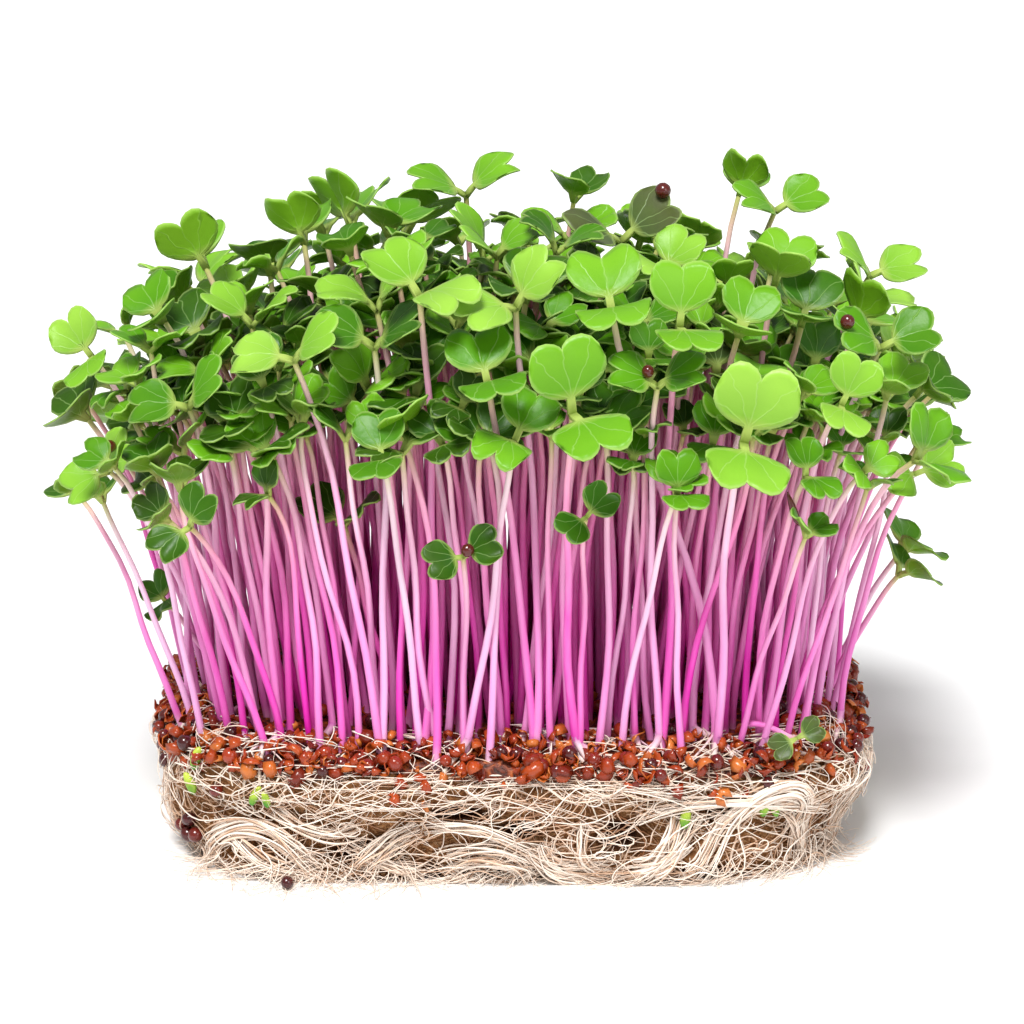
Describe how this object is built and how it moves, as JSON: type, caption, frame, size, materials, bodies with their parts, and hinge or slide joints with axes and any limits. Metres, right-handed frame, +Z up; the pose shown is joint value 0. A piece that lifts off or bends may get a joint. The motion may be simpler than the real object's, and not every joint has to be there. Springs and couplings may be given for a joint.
{
  "type": "block of rapeseed microgreens",
  "caption": "Rectangular felted root mat under a layer of seed hulls, with slender stems that fan out and carry paired notched seed leaves in a domed canopy.",
  "frame": {"origin": "middle of the root mat's flat underside", "axes": "+X along the mat's long side, +Y away from the long side that faces the viewer, +Z up along the stems"},
  "size_m": [0.1269, 0.1035, 0.093],
  "materials": {
    "roots": "tan and cream root strands, matted like felt, with fine loose fibres",
    "seed_hulls": "glossy dark red to orange-brown seeds and split seed coats",
    "seedlings": "satin green seed leaves on magenta to pale pink stems"
  },
  "bodies": {
    "root": {"root_mat": "roots", "seed_hull_layer": "seed_hulls", "seedling_bunch_01": "seedlings", "seedling_bunch_02": "seedlings", "seedling_bunch_03": "seedlings", "seedling_bunch_04": "seedlings", "seedling_bunch_05": "seedlings", "seedling_bunch_06": "seedlings", "seedling_bunch_07": "seedlings", "seedling_bunch_08": "seedlings", "seedling_bunch_09": "seedlings", "seedling_bunch_10": "seedlings", "seedling_bunch_11": "seedlings", "seedling_bunch_12": "seedlings", "seedling_bunch_13": "seedlings", "seedling_bunch_14": "seedlings", "seedling_bunch_15": "seedlings", "seedling_bunch_16": "seedlings", "seedling_bunch_17": "seedlings", "seedling_bunch_18": "seedlings", "seedling_bunch_19": "seedlings", "seedling_bunch_20": "seedlings", "seedling_bunch_21": "seedlings", "seedling_bunch_22": "seedlings", "seedling_bunch_23": "seedlings", "seedling_bunch_24": "seedlings", "seedling_bunch_25": "seedlings", "seedling_bunch_26": "seedlings", "seedling_bunch_27": "seedlings", "seedling_bunch_28": "seedlings", "seedling_bunch_29": "seedlings", "seedling_bunch_30": "seedlings", "seedling_bunch_31": "seedlings", "seedling_bunch_32": "seedlings", "seedling_bunch_33": "seedlings", "seedling_bunch_34": "seedlings", "seedling_bunch_35": "seedlings", "seedling_bunch_36": "seedlings", "seedling_bunch_37": "seedlings", "seedling_bunch_38": "seedlings", "seedling_bunch_39": "seedlings", "seedling_bunch_40": "seedlings", "seedling_bunch_41": "seedlings", "seedling_bunch_42": "seedlings", "seedling_bunch_43": "seedlings", "seedling_bunch_44": "seedlings", "seedling_bunch_45": "seedlings", "seedling_bunch_46": "seedlings", "seedling_bunch_47": "seedlings", "seedling_bunch_48": "seedlings", "seedling_bunch_49": "seedlings"}
  },
  "joints": []
}
